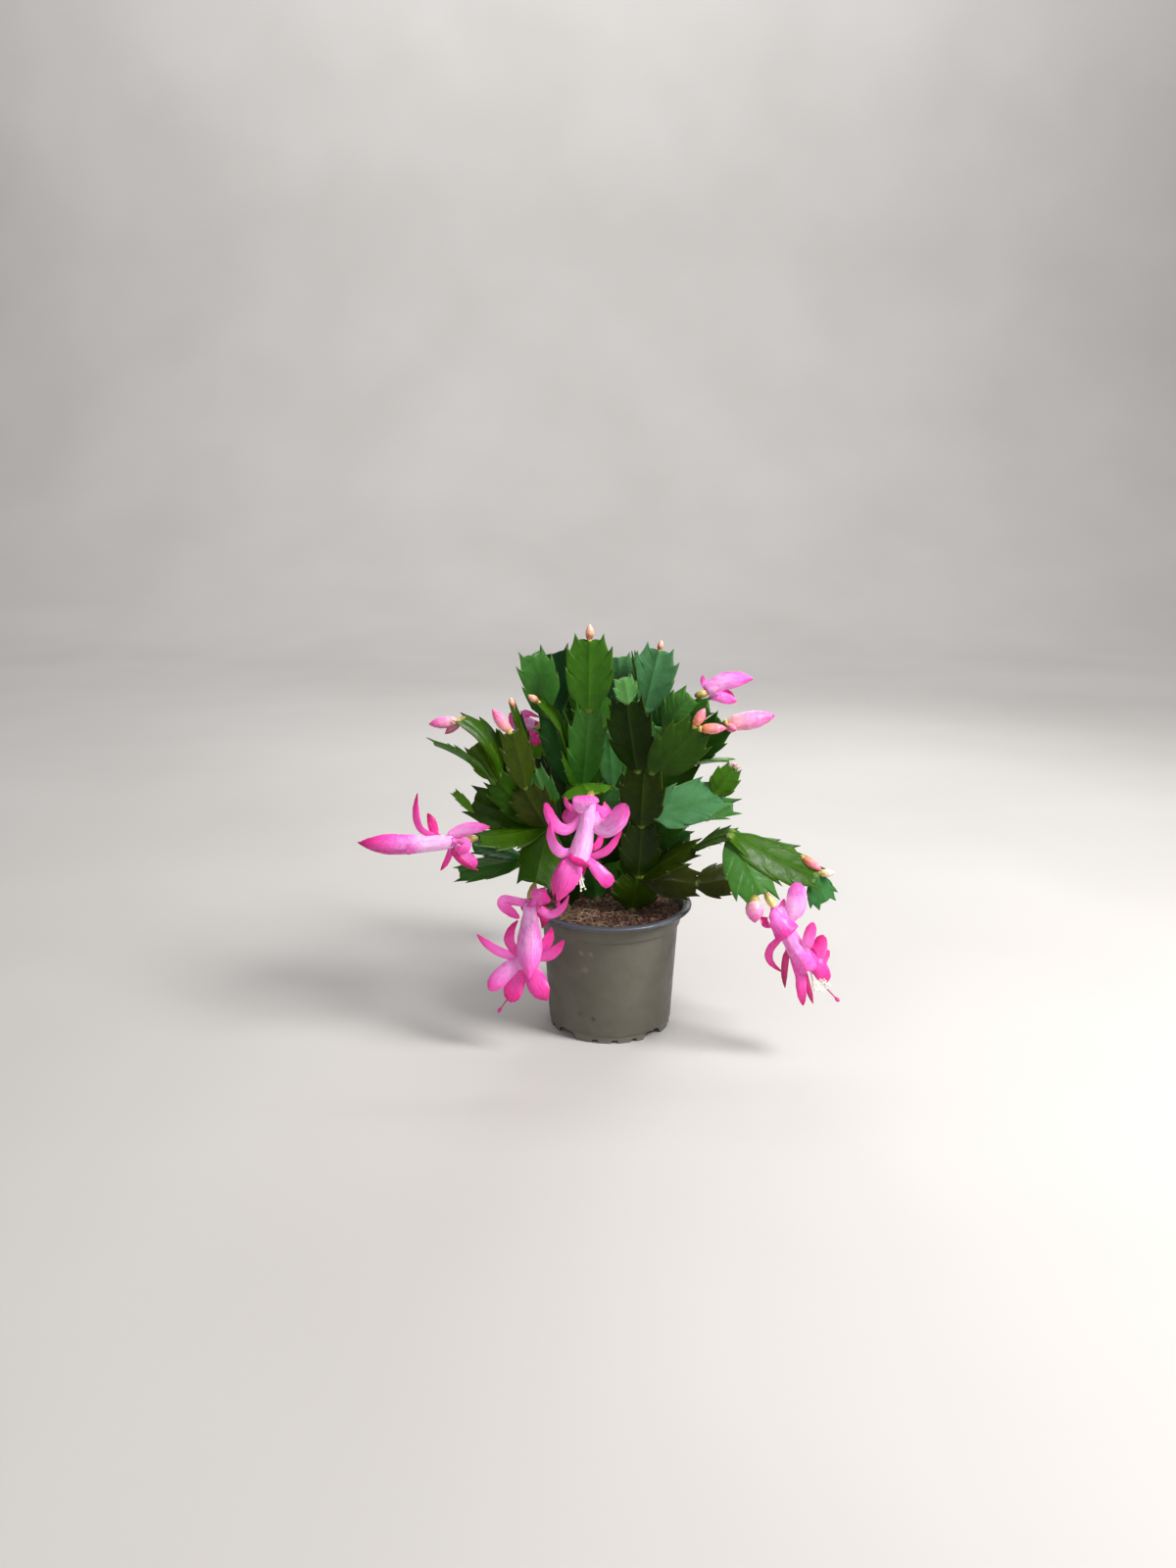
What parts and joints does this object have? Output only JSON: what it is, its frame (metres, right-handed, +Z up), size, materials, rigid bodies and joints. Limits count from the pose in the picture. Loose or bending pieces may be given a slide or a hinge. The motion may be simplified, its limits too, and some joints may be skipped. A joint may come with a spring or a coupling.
{
  "type": "potted christmas cactus",
  "caption": "Flowering holiday cactus with arching chains of flat toothed stem segments, pink tiered blooms and salmon buds, rooted in peat in a round thin plastic nursery pot.",
  "frame": {"origin": "on the surface that the pot stands on, below the middle of the whole object's box", "axes": "+Z up; +X to the right as the object is seen from its front, along its longest extent; -Y towards the viewer at the front"},
  "size_m": [0.2906, 0.212, 0.2597],
  "materials": {
    "pot_plastic": "matte grey-taupe thin plastic, rim blue-grey",
    "peat": "dark brown fibrous peat, rough and dull",
    "segment_green": "waxy green leaf-like stem, semi-gloss",
    "bud_salmon": "soft salmon to pink bud, semi-matt",
    "ovary_lime": "smooth yellow-green",
    "petal_pink": "thin translucent petal, near-white pink to magenta",
    "stamen_white": "fine white threads",
    "style_magenta": "deep magenta"
  },
  "bodies": {
    "root": {"bud_amber": "bud_salmon", "bud_coral": "bud_salmon", "bud_cream": "bud_salmon", "bud_crown": "bud_salmon", "bud_dusk": "bud_salmon", "bud_fat": "bud_salmon", "bud_long": "bud_salmon", "bud_pale": "bud_salmon", "bud_peach": "bud_salmon", "bud_pink": "bud_salmon", "bud_rear_side": "bud_salmon", "bud_rear_tip": "bud_salmon", "bud_rose": "bud_salmon", "bud_salmon": "bud_salmon", "bud_top": "bud_salmon", "bud_young": "bud_salmon", "ovary_centre": "ovary_lime", "ovary_left": "ovary_lime", "ovary_low": "ovary_lime", "ovary_rear_left": "ovary_lime", "ovary_rear_right": "ovary_lime", "ovary_right": "ovary_lime", "ovary_shy": "ovary_lime", "ovary_upper": "ovary_lime", "petals_centre": "petal_pink", "petals_left": "petal_pink", "petals_low": "petal_pink", "petals_rear_left": "petal_pink", "petals_rear_right": "petal_pink", "petals_right": "petal_pink", "petals_shy": "petal_pink", "petals_upper": "petal_pink", "plant_back": "segment_green", "plant_centre": "segment_green", "plant_front": "segment_green", "plant_left": "segment_green", "plant_rear": "segment_green", "pot": "pot_plastic", "soil": "peat", "stamens_centre": "stamen_white", "stamens_low": "stamen_white", "stamens_rear_left": "stamen_white", "stamens_rear_right": "stamen_white", "stamens_right": "stamen_white", "style_centre": "style_magenta", "style_low": "style_magenta", "style_rear_left": "style_magenta", "style_rear_right": "style_magenta", "style_right": "style_magenta"}
  },
  "joints": []
}
